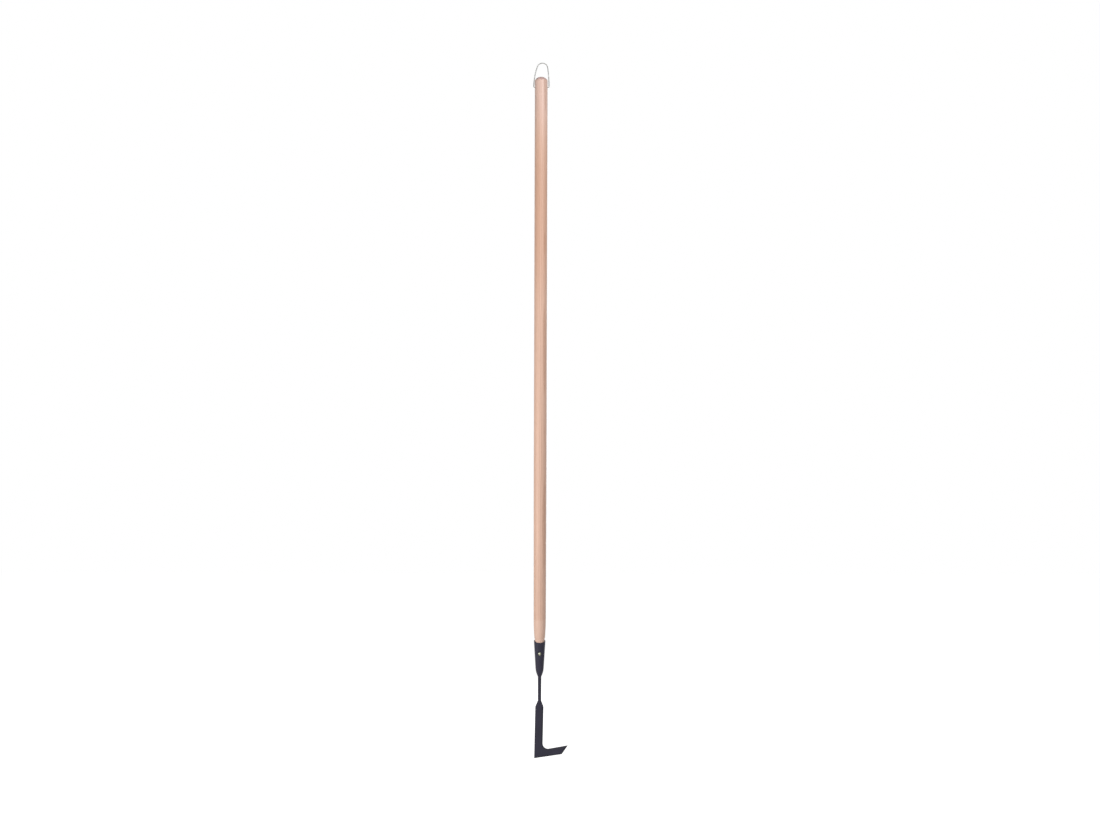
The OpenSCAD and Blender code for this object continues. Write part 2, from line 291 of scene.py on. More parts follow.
def makePowderCoat():
    material, shader, add = startMaterial("powderCoatedSteel")
    place = add("ShaderNodeTexCoord", out="Object")
    broad = stretchedNoise(add, place, *powderCoat["broadSize"], 2.0)
    peel = stretchedNoise(add, place, powderCoat["orangePeel"], powderCoat["orangePeel"], 1.5)
    speck = stretchedNoise(add, place, powderCoat["speck"], powderCoat["speck"], 1.0)
    thin = add("ShaderNodeAttribute", out="Fac", attribute_name="edge")
    ground = add("ShaderNodeAttribute", out="Fac", attribute_name="ground")
    worn = add("ShaderNodeMath", [
        thin, add("ShaderNodeMapRange", [peel, 0.35, 0.65, 0.15, 0.6])], operation="MULTIPLY")
    colour = paintOver(add, linear(powderCoat["coat"]), [
        (linear(powderCoat["coatLight"]), add("ShaderNodeMapRange", [broad, 0.3, 0.7])),
        (linear(powderCoat["ground"]), add("ShaderNodeMapRange", [ground, 0.0, 1.0, 0.0, 0.6])),
        (linear(powderCoat["thinEdge"]), worn)])
    # Each mark is about 17 mm long
    turned = add("ShaderNodeMapping", {
        "Vector": place, "Rotation": (0, radians(powderCoat["grindAngle"]), 0),
        "Scale": (1 / (powderCoat["grindMarks"] * mm), 60, 60)})
    marks = add("ShaderNodeTexNoise", {"Vector": turned, "Scale": 1.0, "Detail": 2.0}, "Fac")
    groundMarks = add("ShaderNodeMath", [marks, ground], operation="MULTIPLY")
    relief = add("ShaderNodeMath", [groundMarks, 0.8, peel], operation="MULTIPLY_ADD")
    finishSurface(add, shader, powderCoat, colour, (speck, 0.3, 0.7), relief, {
        "IOR": powderCoat["ior"], "Specular IOR Level": powderCoat["specular"]})
    return material


# Bright zinc-plated drawn wire: a light grey metal with faint lines along it and a dull bloom
zincWire = {
    "bright": "#9b9b98", "bloom": "#858584", "lineSize": (0.12, 14), "patch": 5.0,
    "bumpStrength": 0.4, "bumpDepth": 0.02, "roughness": (0.32, 0.50),
}


def makeZincWire(radius):
    material, shader, add = startMaterial("zincPlatedWire")
    travelled = add("ShaderNodeAttribute", out="Fac", attribute_name="along")
    around = add("ShaderNodeAttribute", out="Fac", attribute_name="around")
    turn = add("ShaderNodeMath", [around, 2 * pi], operation="MULTIPLY")
    # The pattern runs round a circle as large as the wire, so it closes without a seam
    ring = [add("ShaderNodeMath", [add("ShaderNodeMath", [turn], operation=side), radius * mm],
                operation="MULTIPLY") for side in ("COSINE", "SINE")]
    onWire = add("ShaderNodeCombineXYZ", [*ring, travelled])
    lines = stretchedNoise(add, onWire, *zincWire["lineSize"], 2.0)
    patches = stretchedNoise(add, onWire, zincWire["patch"], zincWire["patch"], 3.0)
    colour = paintOver(add, linear(zincWire["bright"]), [
        (linear(zincWire["bloom"]), add("ShaderNodeMapRange", [patches, 0.4, 0.62], **smooth))])
    finishSurface(add, shader, zincWire, colour, (patches, 0.35, 0.65), lines, {"Metallic": 1.0})
    return material


# Yellow zinc plating on a steel screw: pale straw with duller patches; a pale oval on the crown of the head
# is a painted highlight, and dull olive down both sides of it is painted shade
yellowZinc = {
    "straw": "#acad9a", "tarnish": "#9c9c87", "paintedShadeOlive": "#4c4d3f", "patch": 1.6, "grit": 0.18,
    "crown": (2.3, 6.0), "crownShift": -0.1,   # half width, half height and place of the painted highlight oval
    "bumpStrength": 0.25, "bumpDepth": 0.02, "roughness": (0.30, 0.42),
}


def makeYellowZinc(screwHeight):
    material, shader, add = startMaterial("yellowZincPlatedSteel")
    place = add("ShaderNodeTexCoord", out="Object")
    patches = stretchedNoise(add, place, yellowZinc["patch"], yellowZinc["patch"], 2.0)
    grit = stretchedNoise(add, place, yellowZinc["grit"], yellowZinc["grit"], 1.0)
    halfWidth, halfHeight = yellowZinc["crown"]
    fromPaintedHighlight = add("ShaderNodeMapping", {
        "Vector": place, "Scale": (1 / (halfWidth * mm), 0, 1 / (halfHeight * mm)),
        "Location": (-yellowZinc["crownShift"] / halfWidth, 0, -screwHeight / halfHeight)})
    apart = add("ShaderNodeVectorMath", [fromPaintedHighlight], "Value", operation="LENGTH")
    # painted highlight and shade: inside the oval the head stays straw, outside it turns olive
    colour = paintOver(add, linear(yellowZinc["straw"]), [
        (linear(yellowZinc["tarnish"]), add("ShaderNodeMapRange", [patches, 0.36, 0.64], **smooth)),
        (linear(yellowZinc["paintedShadeOlive"]), add("ShaderNodeMapRange", [apart, 0.75, 1.15], **smooth))])
    finishSurface(add, shader, yellowZinc, colour, (grit, 0.3, 0.7), grit, {"Metallic": 1.0})
    return material


# Geometry Nodes trees


def startTree(name, sockets):
    tree = bpy.data.node_groups.new(name, "GeometryNodeTree")
    for socketName, kind in sockets.items():
        tree.interface.new_socket(name=socketName, in_out="INPUT", socket_type="NodeSocket" + kind)
    tree.interface.new_socket(name="Mesh", in_out="OUTPUT", socket_type="NodeSocketGeometry")
    return tree, partial(addNode, tree), tree.nodes.new("NodeGroupInput").outputs


def endTree(add, mesh, finish):
    real = add("GeometryNodeRealizeInstances", [mesh])
    add("NodeGroupOutput", [add("GeometryNodeSetMaterial", {"Geometry": real, "Material": finish})])


def makeTurnedTree():
    # Turns a profile about Z. A profile point is (radius, swell, height); the swell comes and goes
    # in waves round the axis and down it, which cuts a thread or ripples a bead.
    tree, add, given = startTree("turnedPiece", {
        "Profile": "Geometry", "Segments": "Int", "Waves": "Float", "Pitch": "Float",
        "Sharpness": "Float", "Unevenness": "Float", "Seed": "Float", "Finish": "Material"})
    rows = add("GeometryNodeAttributeDomainSize", [given["Profile"]], "Point Count", component="MESH")
    columns = add("ShaderNodeMath", [given["Segments"], 1], operation="ADD")
    grid = add("GeometryNodeMeshGrid", {"Vertices X": columns, "Vertices Y": rows}, "Mesh")
    index = add("GeometryNodeInputIndex")
    column = add("ShaderNodeMath", [add("ShaderNodeMath", [index, rows], operation="DIVIDE")],
                 operation="FLOOR")
    row = add("ShaderNodeMath", [index, rows], operation="MODULO")
    point = add("GeometryNodeSampleIndex", {
        "Geometry": given["Profile"], "Value": add("GeometryNodeInputPosition"), "Index": row},
        data_type="FLOAT_VECTOR", domain="POINT")
    radius, swell, height = add("ShaderNodeSeparateXYZ", [point]).node.outputs
    share = add("ShaderNodeMath", [column, given["Segments"]], operation="DIVIDE")
    waves = add("ShaderNodeMath", [share, given["Waves"]], operation="MULTIPLY")
    turns = add("ShaderNodeMath", [height, given["Pitch"]], operation="DIVIDE")
    phase = add("ShaderNodeMath", [waves, turns], operation="ADD")
    saw = add("ShaderNodeMath", [phase], operation="FRACT")
    slope = add("ShaderNodeMath", [saw, 2.0, -1.0], operation="MULTIPLY_ADD")
    peak = add("ShaderNodeMath", [slope], operation="ABSOLUTE")
    wave = add("ShaderNodeMath", [peak, given["Sharpness"]], operation="POWER")
    # The unevenness is read on a circle of its own, so that it meets itself at the seam, and 4 mm
    # of height count as much as the circle's radius
    angle = add("ShaderNodeMath", [share, 2 * pi], operation="MULTIPLY")
    cosine, sine = [add("ShaderNodeMath", [angle], operation=side) for side in ("COSINE", "SINE")]
    down = add("ShaderNodeMath", [height, 4 * mm], operation="DIVIDE")
    noise = add("ShaderNodeTexNoise", {
        "Vector": add("ShaderNodeCombineXYZ", [cosine, sine, down]), "W": given["Seed"],
        "Scale": 2.2, "Detail": 1.0}, "Fac", noise_dimensions="4D")
    offMean = add("ShaderNodeMath", [noise, 0.5], operation="SUBTRACT")
    lumps = add("ShaderNodeMath", [offMean, given["Unevenness"]], operation="MULTIPLY")
    # The poles stay on the axis
    offAxis = add("ShaderNodeMath", [radius, 0.01 * mm], operation="GREATER_THAN")
    for size, amount in ((swell, wave), (lumps, offAxis)):
        extra = add("ShaderNodeMath", [size, amount], operation="MULTIPLY")
        radius = add("ShaderNodeMath", [radius, extra], operation="ADD")
    x, y = [add("ShaderNodeMath", [radius, side], operation="MULTIPLY") for side in (cosine, sine)]
    shaped = add("GeometryNodeSetPosition", {
        "Geometry": grid, "Position": add("ShaderNodeCombineXYZ", [x, y, height])})
    closed = add("GeometryNodeMergeByDistance", {"Geometry": shaped, "Distance": 0.002 * mm})
    endTree(add, closed, given["Finish"])
    return tree


def makeDrawnTree():
    # Draws a round section along a path. The path's swell scales it, and ripples lie across it.
    tree, add, given = startTree("drawnPiece", {
        "Path": "Geometry", "Diameter": "Float", "Sides": "Int", "Ripple Spacing": "Float",
        "Ripple Depth": "Float", "Finish": "Material"})
    kept = {"data_type": "FLOAT", "domain": "POINT"}
    curve = add("GeometryNodeMeshToCurve", [given["Path"]])
    travelled = add("GeometryNodeSplineParameter", out="Length")
    marked = add("GeometryNodeStoreNamedAttribute", {
        "Geometry": curve, "Name": "along", "Value": travelled}, **kept)
    radius = add("ShaderNodeMath", [given["Diameter"], 2], operation="DIVIDE")
    section = add("GeometryNodeCurvePrimitiveCircle", {
        "Resolution": given["Sides"], "Radius": radius}, "Curve", mode="RADIUS")
    section = add("GeometryNodeStoreNamedAttribute", {
        "Geometry": section, "Name": "around", "Value": add("GeometryNodeSplineParameter", out="Factor")},
        **kept)
    swell = add("GeometryNodeInputNamedAttribute", {"Name": "swell"}, data_type="FLOAT")
    phase = add("ShaderNodeMath", [travelled, given["Ripple Spacing"]], operation="DIVIDE")
    phase = add("ShaderNodeMath", [phase, pi], operation="MULTIPLY")
    wave = add("ShaderNodeMath", [add("ShaderNodeMath", [phase], operation="SINE")], operation="ABSOLUTE")
    ripple = add("ShaderNodeMath", [wave, given["Ripple Depth"], 1.0], operation="MULTIPLY_ADD")
    drawn = add("GeometryNodeCurveToMesh", {
        "Curve": marked, "Profile Curve": section, "Fill Caps": True,
        "Scale": add("ShaderNodeMath", [swell, ripple], operation="MULTIPLY")})
    endTree(add, drawn, given["Finish"])
    return tree


turnedTree = makeTurnedTree()
drawnTree = makeDrawnTree()
print("node trees built")


def plainMesh(host, name):  # what the host's modifiers make, as a plain mesh
    mesh = bpy.data.meshes.new_from_object(host.evaluated_get(bpy.context.evaluated_depsgraph_get()))
    bpy.data.objects.remove(host)
    mesh.name = name
    return mesh


def growMesh(tree, name, points, settings, swell=None):
    # puts the points in a chain and lets the tree build on it
    chain = bpy.data.meshes.new(name + "Chain")
    chain.from_pydata([tuple(mm * c for c in p) for p in points],
                      [(i, i + 1) for i in range(len(points) - 1)], [])
    values = chain.attributes.new("swell", "FLOAT", "POINT")
    values.data.foreach_set("value", swell or [1.0] * len(points))
    host = makeObject(name + "Chain", chain)
    modifier = host.modifiers.new("build", "NODES")
    modifier.node_group = tree
    for item in tree.interface.items_tree:
        if item.in_out == "INPUT" and item.name in settings:
            modifier[item.identifier] = settings[item.name]
    return plainMesh(host, name)


def turnMesh(name, profile, segments, finish, waves=0.0, pitch=1e6, sharpness=1.0, unevenness=0.0, seed=0.0):
    # a point of two numbers is radius and height; with the pitch left out the waves don't climb
    points = [p if len(p) == 3 else (p[0], 0.0, p[1]) for p in profile]
    return outward(growMesh(turnedTree, name, points, {
        "Segments": segments, "Waves": waves, "Pitch": pitch * mm, "Sharpness": sharpness,
        "Unevenness": unevenness * mm, "Seed": seed, "Finish": finish}))


def outward(mesh):  # one closed skin, with its faces to the outside
    shape = bmesh.new()
    shape.from_mesh(mesh)
    bmesh.ops.remove_doubles(shape, verts=shape.verts, dist=0.001 * mm)
    bmesh.ops.recalc_face_normals(shape, faces=shape.faces)
    shape.to_mesh(mesh)
    shape.free()
    return mesh


def finishShape(shape, name, finish):  # the shape as a mesh, with its faces to the outside
    bmesh.ops.recalc_face_normals(shape, faces=shape.faces)
    mesh = bpy.data.meshes.new(name)
    shape.to_mesh(mesh)
    shape.free()
    mesh.materials.append(finish)
    return mesh


def turnInto(mesh, angle, axis, spot):  # turns the mesh about an axis and moves it to the spot
    mesh.transform(Matrix.Translation([c * mm for c in spot]) @ Matrix.Rotation(radians(angle), 4, axis))
    return mesh


def carve(mesh, cutters):  # takes each cutter out of the mesh
    host = makeObject(mesh.name, mesh)
    tools = [makeObject(cutter.name, cutter) for cutter in cutters]
    for tool in tools:
        cut = host.modifiers.new("cut", "BOOLEAN")
        cut.operation, cut.solver, cut.object = "DIFFERENCE", "EXACT", tool
    carved = plainMesh(host, mesh.name)
    for tool in tools:
        bpy.data.objects.remove(tool)
    return carved


def place(name, mesh, node, body, slot, sharpAngle=35):  # the finished piece takes its node's place
    if sharpAngle:
        mesh.shade_smooth()
        mesh.set_sharp_from_angle(angle=radians(sharpAngle))
    piece = makeObject(name, mesh)
    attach(piece, body)
    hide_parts(node)
    mesh.calc_loop_triangles()
    print(name, "made:", len(mesh.loop_triangles), "triangles")


# Heights and radii that several pieces share, read off the frame

handleLow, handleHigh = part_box("handle")
shankLow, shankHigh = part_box("shank")
screwLow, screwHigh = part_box("socket_screw")
handleRadius = handleHigh.x / mm
handleTop, handleEnd = handleHigh.z / mm, handleLow.z / mm
shankRadius = shankHigh.x / mm
shankTop, shankEnd = shankHigh.z / mm, shankLow.z / mm
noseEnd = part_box("socket")[0].z / mm
screwZ = (screwLow.z + screwHigh.z) / 2 / mm

# The bore of the socket, which the end of the stick fills

boreSizes = {"depth": 82.0, "rimRadius": 11.4, "slope": 3.5}
rimZ = noseEnd + boreSizes["depth"]


def coneRadius(z):
    return boreSizes["rimRadius"] + (z - rimZ) * tan(radians(boreSizes["slope"]))


# Handle

handleSizes = {
    "domeRise": 8.6, "cornerRound": 1.8,
    "holeDepth": 25.0, "holeRadius": 1.27, "holeChamfer": 0.5, "holeSides": 32,
    "slimRadius": 14.3, "slimLength": 310.0,   # the slow taper in the lower third
    "taperLength": 120.0,                      # the quick one, with the end in the socket
    "collarRadius": 12.5, "collarRise": 7.5, "coneRise": 4.5,   # just above the rim
    "pointLength": 7.4, "pointRadius": 5.0, "pointChamfer": 0.4, "pointRise": 0.5,
    "pilotRadius": 2.1, "segments": 96, "ringSpacing": 40.0,
}
domeRadius = (handleRadius ** 2 + handleSizes["domeRise"] ** 2) / (2 * handleSizes["domeRise"])
domeEdge = handleTop - handleSizes["domeRise"]
holeZ = handleTop - handleSizes["holeDepth"]
taperTop = handleEnd + handleSizes["taperLength"]
collarZ = rimZ + handleSizes["collarRise"]
coneTop = rimZ + handleSizes["coneRise"]


def stickRadius(z):  # straight, then slim, then an arc down to the collar, and the cone in the socket
    slim = handleSizes["slimRadius"]
    if z >= taperTop:
        return between(slim, handleRadius, min(1.0, (z - taperTop) / handleSizes["slimLength"]))
    drop, fall = taperTop - collarZ, slim - handleSizes["collarRadius"]
    arc = (drop ** 2 + fall ** 2) / (2 * fall)
    onArc = slim - arc + sqrt(arc ** 2 - (taperTop - z) ** 2)
    return between(coneRadius(z), onArc, smoothStep(coneTop, collarZ, z))


def handleProfile():
    s = handleSizes
    middleZ = handleTop - domeRadius
    corner, chamfer = s["cornerRound"], s["pointChamfer"]
    turn = asin((handleRadius - corner) / (domeRadius - corner))
    domeTurns = [turn * i / 14 for i in range(15)]
    points = [(domeRadius * sin(a), middleZ + domeRadius * cos(a)) for a in domeTurns]
    cornerZ = middleZ + (domeRadius - corner) * cos(turn)
    for i in range(1, 7):
        a = between(turn, pi / 2, i / 6)
        points.append((handleRadius - corner + corner * sin(a), cornerZ + corner * cos(a)))
    heights = [holeZ + step for step in (6, 3, 0, -3, -6)]   # close rings at the hole, then far ones
    z = holeZ - s["ringSpacing"]
    while z > taperTop + 5:
        heights.append(z)
        z -= s["ringSpacing"]
    pointTop = handleEnd + s["pointLength"]
    heights += [between(taperTop, collarZ, i / 12) for i in range(13)]
    heights += [between(collarZ, coneTop, i / 6) for i in range(1, 7)]
    heights += [between(coneTop, pointTop, i / 5) for i in range(1, 6)]
    points += [(stickRadius(height), height) for height in heights]
    return points + [(s["pointRadius"] + chamfer, handleEnd + s["pointRise"]),
                     (s["pointRadius"] - chamfer, handleEnd), (0.0, handleEnd)]


ash = makeAshWood(domeEdge, taperTop)
coat = makePowderCoat()

# The screw's sizes come before the screw, because the stick and the socket have its hole
screwSizes = {
    "headRadius": 4.25, "headHeight": 3.2, "rimRound": 0.35, "length": 16.0, "shankRadius": 2.08,
    "plainLength": 4.0, "tipLength": 4.0, "coreRadius": 1.45, "threadDepth": 0.6, "threadSteps": 96,
    "thread": {"waves": 1.0, "pitch": 1.8, "sharpness": 1.4},
    "recessReach": 2.3, "recessWidth": 1.1, "recessDepth": 1.7, "sides": 40,
}
seatY = -(screwLow.y / mm + screwSizes["headHeight"])  # distance of the flat seat in front of the axis
pastSkin = handleRadius + 2                            # where a cutter ends, outside the handle


def holeCutter():  # a long pin across the handle, flared where it comes out
    radius = handleSizes["holeRadius"]
    flareStart = handleRadius - handleSizes["holeChamfer"]
    flared = radius + pastSkin - flareStart
    profile = [(0, -pastSkin), (flared, -pastSkin), (radius, -flareStart), (radius, flareStart),
               (flared, pastSkin), (0, pastSkin)]
    return turnInto(turnMesh("crossHole", profile, handleSizes["holeSides"], ash), 90, "Y", (0, 0, holeZ))


def frontCutter(name, radius, fromY, material):  # a pin along Y at the screw
    profile = [(0, fromY), (radius, fromY), (radius, pastSkin), (0, pastSkin)]
    return turnInto(turnMesh(name, profile, screwSizes["sides"], material), 90, "X", (0, 0, screwZ))


handleMesh = carve(turnMesh("handleStick", handleProfile(), handleSizes["segments"], ash), [
    holeCutter(), frontCutter("pilotHole", handleSizes["pilotRadius"], seatY - screwSizes["length"], ash)])
place("handleStick", handleMesh, "handle", "tool", "ash_wood", 30)

# Hanging loop

loopSizes = {
    "wireRadius": 1.2, "crownRadius": 12.6, "crownShift": 2.7,
    "leftLean": 19.5, "rightLean": 8.0, "footLean": 0.5,
    "bendRadius": 2.0, "wireIn": 10.0, "endChamfer": 0.4,
    "sides": 24, "bendSteps": 14, "legSteps": 16, "crownSteps": 34,
}
crownZ = -sqrt((loopSizes["crownRadius"] - loopSizes["wireRadius"]) ** 2 - loopSizes["crownShift"] ** 2)


def arcPoints(centre, radius, fromAngle, toAngle, steps):
    return [centre + radius * along(between(fromAngle, toAngle, i / steps)) for i in range(steps + 1)]


def loopSide(crownX, lean):  # from the end in the hole up to the crown, drawn on the right
    bendRadius, footLean = loopSizes["bendRadius"], loopSizes["footLean"]
    footSin, footCos = sin(radians(footLean)), cos(radians(footLean))
    bendZ = holeZ + bendRadius
    legTop = Vector((crownX, crownZ)) + loopSizes["crownRadius"] * along(lean)
    legRadius = (legTop.y - bendZ - bendRadius * footSin) / (sin(radians(lean)) - footSin)
    legMiddle = legTop - legRadius * along(lean)
    bend = Vector((legMiddle.x + (legRadius - bendRadius) * footCos, bendZ))
    endX = bend.x - loopSizes["wireIn"]
    straight = [Vector((endX + step, holeZ)) for step in (0, loopSizes["endChamfer"], 4, 8)]
    foot = arcPoints(bend, bendRadius, -90, footLean, loopSizes["bendSteps"])
    return straight + foot + arcPoints(legMiddle, legRadius, footLean, lean, loopSizes["legSteps"])[1:]


rightSide = loopSide(loopSizes["crownShift"], loopSizes["rightLean"])
leftSide = [Vector((-p.x, p.y)) for p in loopSide(-loopSizes["crownShift"], loopSizes["leftLean"])]
crown = arcPoints(Vector((loopSizes["crownShift"], crownZ)), loopSizes["crownRadius"],
                  loopSizes["rightLean"], 180 - loopSizes["leftLean"], loopSizes["crownSteps"])
wirePath = rightSide + crown[1:-1] + leftSide[::-1]
wireSwell = [1.0] * len(wirePath)
wireSwell[0] = wireSwell[-1] = 1 - loopSizes["endChamfer"] / loopSizes["wireRadius"]
loopMesh = outward(growMesh(drawnTree, "hangingLoopWire", [(p.x, 0.0, p.y) for p in wirePath], {
    "Diameter": 2 * loopSizes["wireRadius"] * mm, "Sides": loopSizes["sides"], "Ripple Spacing": 1.0,
    "Ripple Depth": 0.0, "Finish": makeZincWire(loopSizes["wireRadius"])}, wireSwell))
place("hangingLoopWire", loopMesh, "hanging_loop", "loop", "zinc_wire", 40)

# Socket

socketSizes = {
    "wall": 2.2, "rimSlant": 16.0, "noseLength": 18.4, "noseSlope": 24.6, "noseGrip": 5.0,
    "seam": 0.8, "seamEnd": 0.16, "seamRise": 4.0, "seamLength": 24.0,   # it closes down that length
    "edgeRound": 0.5, "innerRound": 0.3, "noseRound": 0.35, "play": 0.05,
    "levelDepth": 12.0,   # from that far under the rim the rows run level
    "rowStep": 0.62, "rimRows": 16, "noseRows": 38, "columns": 168,
    "seatRadius": 4.7, "seatBlend": 3.2, "seatSoftness": 0.4, "seatWall": 0.25,
    "screwHoleRadius": 2.2, "screwHoleFrom": 5.0,
    "creases": 7, "creaseDepth": 0.26, "creaseWidth": 9.0, "creaseRise": 10.0, "creaseFoot": 3.0,
}
noseTop = noseEnd + socketSizes["noseLength"]
coneSin = sin(radians(boreSizes["slope"]))
noseArc = socketSizes["noseLength"] / (sin(radians(socketSizes["noseSlope"])) - coneSin)
wallAcross = socketSizes["wall"] / cos(radians(boreSizes["slope"]))


def noseSine(z):  # of the slope that the nose has at that height
    return coneSin + (noseTop - z) / noseArc


def socketRadius(z):  # the outer skin: a cone, then an arc that leaves it smoothly
    if z >= noseTop:
        return coneRadius(z) + wallAcross
    drawnIn = noseArc * (sqrt(1 - coneSin ** 2) - sqrt(1 - noseSine(z) ** 2))
    return coneRadius(noseTop) + wallAcross - drawnIn


def boreRadius(z):
    if z >= noseTop:
        inner = socketRadius(z) - wallAcross
    elif z >= noseEnd + socketSizes["noseGrip"]:
        inner = socketRadius(z) - socketSizes["wall"] / sqrt(1 - noseSine(z) ** 2)
    else:
        inner = shankRadius
    return max(inner, shankRadius) + socketSizes["play"]


def edgeDrop(distance, radius):  # how far a rounded edge has fallen back at that distance from it
    if distance >= radius:
        return 0.0
    return radius - sqrt(radius ** 2 - (radius - distance) ** 2)


creaseRandom = random.Random(11)   # the folds are nearly even, and none lies on the seam
creases = socketSizes["creases"]
creaseAngles = [(i + creaseRandom.uniform(-0.22, 0.22)) * 360 / creases + 12 for i in range(creases)]
creaseDepths = [creaseRandom.uniform(0.6, 1.0) for i in range(creases)]


def creaseAt(angle, z):  # the sheet gathers into short folds where the nose is hammered in
    rise, foot = socketSizes["creaseRise"], socketSizes["creaseFoot"]
    strength = smoothStep(0, 1, (noseEnd + foot + rise - z) / rise)
    strength *= 1 - 0.75 * smoothStep(0, 1, (noseEnd + foot - z) / foot)   # shallower at the end
    depth = 0.0
    for middle, share in zip(creaseAngles, creaseDepths):
        apart = abs((angle - middle + 180) % 360 - 180)
        depth = max(depth, share * exp(-(apart / socketSizes["creaseWidth"]) ** 2 * 2))
    return socketSizes["creaseDepth"] * strength * depth


def socketMesh():
    s = socketSizes
    rimSteps = [0.0, 0.03, 0.1, 0.22, 0.38, 0.5, 0.9]   # distances from the rim
    edgeSteps = [0.0, 0.04, 0.14, 0.3, 0.5, 0.85]       # distances from the seam's edge
    endSteps = [0.8, 0.45, 0.2, 0.05, 0.0]              # heights over the end of the nose
    far = 9.0                                           # too far from an edge to be rounded
    back = radians(90)
    seatReach = s["seatRadius"] + s["seatBlend"]
    level = rimZ - s["levelDepth"]
    lowRows = [level - s["rowStep"] * i for i in range(int((level - noseTop) / s["rowStep"]) + 1)]
    lowRows = [z for z in lowRows if z > noseTop + s["rowStep"] / 2] + [noseTop]
    noseShares = [(i + 1) / s["noseRows"] for i in range(s["noseRows"])]
    lowRows += [between(noseTop, noseEnd + endSteps[0], share) for share in noseShares]
    lowRows += [noseEnd + step for step in endSteps[1:]]
    shape = bmesh.new()
    outer, inner = [], []

    def rowHeights(angle):  # the height of each row and its distance from the rim, downwards
        top = rimZ
        for i in range(6):   # the rim's height depends on the radius there, and closes in on it
            top = rimZ + socketRadius(top) * sin(angle) * tan(radians(s["rimSlant"]))
        rows = [(top - step, step) for step in rimSteps]
        rows += [(between(top - rimSteps[-1], level, i / s["rimRows"]), far) for i in range(1, s["rimRows"])]
        return rows + [(z, far) for z in lowRows]

    lines = [(step, 0.0) for step in edgeSteps]   # distance from the seam and share of the way round
    lines += [(far, (i + 1) / (s["columns"] + 1)) for i in range(s["columns"])]
    lines += [(step, 1.0) for step in edgeSteps[::-1]]
    for j, (fromEdge, share) in enumerate(lines):
        outerColumn, innerColumn = [], []
        # the height of a row only needs the angle roughly, at the seam it is the back
        guess = back + (2 * pi * j / len(lines) if 0 < share < 1 else 0)
        for z, fromRim in rowHeights(guess):
            radius = socketRadius(z)
            closing = smoothStep(0, 1, (noseTop + s["seamRise"] - z) / s["seamLength"])
            gap = between(s["seam"], s["seamEnd"], closing) / 2
            start = asin(gap / radius) + min(fromEdge, edgeSteps[-1]) / radius
            angle = between(back + start, back + 2 * pi - start, share)
            nearest = min(fromRim, fromEdge)
            drop = max(edgeDrop(nearest, s["edgeRound"]), edgeDrop(z - noseEnd, s["noseRound"]))
            inDrop = edgeDrop(nearest, s["innerRound"])
            outRadius = radius - drop - creaseAt(degrees(angle), z)
            x, y = outRadius * cos(angle), outRadius * sin(angle)
            fromScrew = hypot(x, z - screwZ)
            if y < 0 and fromScrew < seatReach:
                weight = 1 - smoothStep(s["seatRadius"], seatReach, fromScrew)
                softly = hypot(y + seatY, s["seatSoftness"])
                y = between(y, (y - seatY + softly) / 2, weight)  # the further back of the two, blended
            outerColumn.append(shape.verts.new((x * mm, y * mm, z * mm)))
            bore = min(boreRadius(z) + inDrop, hypot(x, y) - s["seatWall"]) * mm
            innerColumn.append(shape.verts.new((bore * cos(angle), bore * sin(angle), z * mm)))
        outer.append(outerColumn)
        inner.append(innerColumn)
    last = len(outer[0]) - 1
    for j in range(len(lines) - 1):
        for i in range(last):
            shape.faces.new((outer[j][i], outer[j][i + 1], outer[j + 1][i + 1], outer[j + 1][i]))
            shape.faces.new((inner[j][i], inner[j + 1][i], inner[j + 1][i + 1], inner[j][i + 1]))
        for i in (0, last):
            shape.faces.new((outer[j][i], outer[j + 1][i], inner[j + 1][i], inner[j][i]))
    for j in (0, -1):
        for i in range(last):
            shape.faces.new((outer[j][i], outer[j][i + 1], inner[j][i + 1], inner[j][i]))
    return finishShape(shape, "socketShell", coat)


screwHole = frontCutter("screwHole", socketSizes["screwHoleRadius"], socketSizes["screwHoleFrom"], coat)
place("socketShell", carve(socketMesh(), [screwHole]), "socket", "tool", "coated_steel", 40)

# Socket screw


def crossCutter():  # a driver's tip: a cross that narrows downwards
    reach, half = screwSizes["recessReach"], screwSizes["recessWidth"] / 2
    cross = [(half, half), (half, reach), (-half, reach), (-half, half), (-reach, half), (-reach, -half),
             (-half, -half), (-half, -reach), (half, -reach), (half, -half), (reach, -half), (reach, half)]
    top = screwSizes["headHeight"] + 0.4   # a little over the head, so that it cuts right through
    bottom = screwSizes["headHeight"] - screwSizes["recessDepth"]
    shape = bmesh.new()
    rings = []
    for z, reachShare, widthShare in ((top, 1.08, 1.06), (bottom, 0.5, 0.62)):
        ring = []
        for corner in cross:
            x, y = [c * (reachShare if abs(c) > half else widthShare) * mm for c in corner]
            ring.append(shape.verts.new((x, y, z * mm)))
        rings.append(ring)
    upper, lower = rings
    for i in range(len(cross)):
        after = (i + 1) % len(cross)
        shape.faces.new((upper[i], upper[after], lower[after], lower[i]))
    shape.faces.new(upper)
    shape.faces.new(lower[::-1])
    return finishShape(shape, "driverTip", screwZinc)


